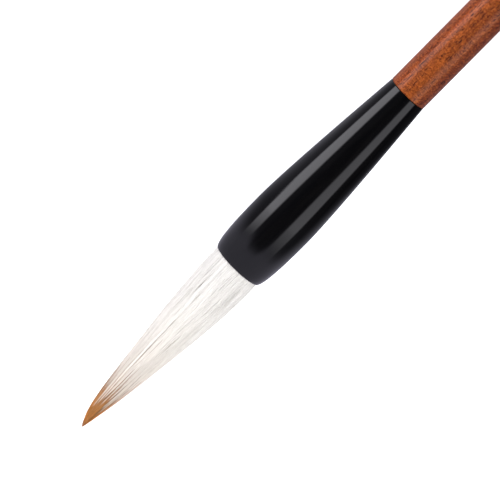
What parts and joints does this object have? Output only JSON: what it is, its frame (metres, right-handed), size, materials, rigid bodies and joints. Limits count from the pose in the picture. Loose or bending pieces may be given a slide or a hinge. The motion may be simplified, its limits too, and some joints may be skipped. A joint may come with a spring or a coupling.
{
  "type": "calligraphy brush",
  "caption": "Calligraphy brush with a round wooden handle, a glossy black bell-shaped ferrule and a pointed white tuft with a brown core that flexes.",
  "frame": {"origin": "the hanging point, in the middle of the tail cap's top face, where the cord hole opens", "axes": "+Z along the brush from its tip up to its tail, as it hangs; the tuft bends in the X-Z plane"},
  "size_m": [0.016, 0.016, 0.292],
  "materials": {
    "rosewood": "satin",
    "black_horn": "gloss",
    "goat_hair": "satin",
    "weasel_hair": "satin",
    "silk_thread": "satin",
    "rosin": "gloss",
    "adhesive": "satin"
  },
  "bodies": {
    "brush": {"handle_shaft": "rosewood", "ferrule_cup": "black_horn", "tail_cap": "black_horn", "root_seal": "rosin", "root_adhesive": "adhesive", "root_thread": "silk_thread", "core_hair_root": "weasel_hair", "belly_hair_root": "goat_hair", "cover_hair_root": "goat_hair"},
    "tuft": {"core_hair_free": "weasel_hair", "belly_hair_free": "goat_hair", "cover_hair_free": "goat_hair"}
  },
  "joints": [
    {"name": "tuft_flex", "type": "hinge", "parent": "brush", "child": "tuft", "pos_m": [0, 0, -0.2535], "axis": [0, 1, 0], "range_deg": [-40, 40], "stiffness_Nm_per_rad": 0.015}
  ]
}
